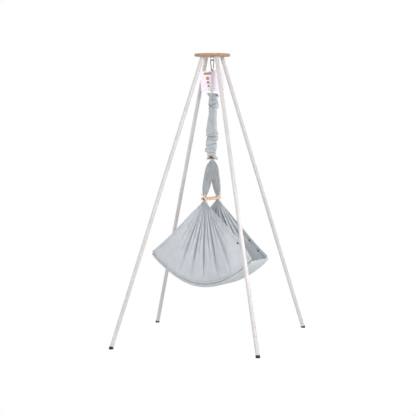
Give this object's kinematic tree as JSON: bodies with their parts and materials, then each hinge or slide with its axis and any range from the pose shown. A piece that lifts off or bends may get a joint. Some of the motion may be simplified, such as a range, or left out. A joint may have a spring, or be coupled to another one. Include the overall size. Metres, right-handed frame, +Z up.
{
  "type": "baby swing",
  "caption": "Cloth baby hammock with a padded base and a wooden spreader bar, hung on a sleeved spring from a round wooden plate on splayed white tube legs.",
  "frame": {"origin": "on the floor, at the centre of the box round the stand and cradle (the four feet set it)", "axes": "+Z up; +X to the right and +Y to the back, seen from the front; the front left and front right feet are on the -Y side"},
  "size_m": [1.1836, 1.3326, 2.052],
  "materials": {
    "painted_steel": "satin white enamel",
    "beech": "oiled",
    "rubber": "matt",
    "plated_steel": "zinc plated",
    "brass": "turned",
    "cotton": "woven",
    "foam": "soft",
    "leather": "vegetable tanned",
    "card": "smooth",
    "dark_metal": "blackened",
    "cord": "braided"
  },
  "bodies": {
    "stand": {"top_plate": "beech", "eye_bolt": "plated_steel", "eye_washer": "plated_steel", "eye_nut": "plated_steel", "back_right_leg_foot": "rubber", "back_right_leg_lower_tube": "painted_steel", "back_right_leg_upper_tube": "painted_steel", "back_right_leg_spigot": "plated_steel", "back_right_leg_top_plug": "plated_steel", "back_right_leg_insert": "brass", "back_left_leg_foot": "rubber", "back_left_leg_lower_tube": "painted_steel", "back_left_leg_upper_tube": "painted_steel", "back_left_leg_spigot": "plated_steel", "back_left_leg_top_plug": "plated_steel", "back_left_leg_insert": "brass", "front_left_leg_foot": "rubber", "front_left_leg_lower_tube": "painted_steel", "front_left_leg_upper_tube": "painted_steel", "front_left_leg_spigot": "plated_steel", "front_left_leg_top_plug": "plated_steel", "front_left_leg_insert": "brass", "front_right_leg_foot": "rubber", "front_right_leg_lower_tube": "painted_steel", "front_right_leg_upper_tube": "painted_steel", "front_right_leg_spigot": "plated_steel", "front_right_leg_top_plug": "plated_steel", "front_right_leg_insert": "brass"},
    "snap_hook": {"snap_hook_frame": "plated_steel", "snap_hook_rivet": "plated_steel"},
    "snap_hook_gate": {"snap_hook_gate": "plated_steel"},
    "hanger": {"top_link": "plated_steel", "spring_top_plug": "plated_steel", "extension_spring": "plated_steel", "safety_rope": "cord", "spring_sleeve": "cotton", "leaflet": "card", "leaflet_loop": "cord"},
    "spring_end": {"spring_bottom_plug": "plated_steel"},
    "cradle": {"sling_ring": "plated_steel", "sling_strap": "leather", "sling_rivet": "dark_metal", "front_cloth": "cotton", "back_cloth": "cotton", "spreader_bar": "beech", "front_tie": "leather", "back_tie": "leather", "base_pocket": "cotton", "mattress": "foam", "front_snap_upper": "dark_metal", "front_snap_lower": "dark_metal", "back_snap_upper": "dark_metal", "back_snap_lower": "dark_metal"}
  },
  "joints": [
    {"name": "lengthwise_swing", "type": "hinge", "parent": "stand", "child": "snap_hook", "pos_m": [0.02692, 0.02105, 2.0042], "axis": [0.2554, 0.9668, 0], "range_deg": [-10, 10]},
    {"name": "gate_open", "type": "hinge", "parent": "snap_hook", "child": "snap_hook_gate", "pos_m": [0.03369, 0.01926, 1.95], "axis": [-0.2554, -0.9668, 0], "range_deg": [0, 22], "stiffness_Nm_per_rad": 0.04, "springref_deg": -22.92},
    {"name": "sideways_swing", "type": "hinge", "parent": "snap_hook", "child": "hanger", "pos_m": [0.02692, 0.02105, 1.934], "axis": [0.9668, -0.2554, 0], "range_deg": [-4, 4]},
    {"name": "bounce", "type": "slide", "parent": "hanger", "child": "spring_end", "axis": [0, 0, -1], "range_m": [0, 0.2], "stiffness_N_per_m": 460, "springref_m": -0.065, "deforming": ["extension_spring", "spring_sleeve", "safety_rope"]},
    {"name": "cradle_turn", "type": "hinge", "parent": "spring_end", "child": "cradle", "pos_m": [0.02692, 0.02105, 1.413], "axis": [0, 0, 1], "range_deg": [-9, 9], "stiffness_Nm_per_rad": 0.3}
  ]
}
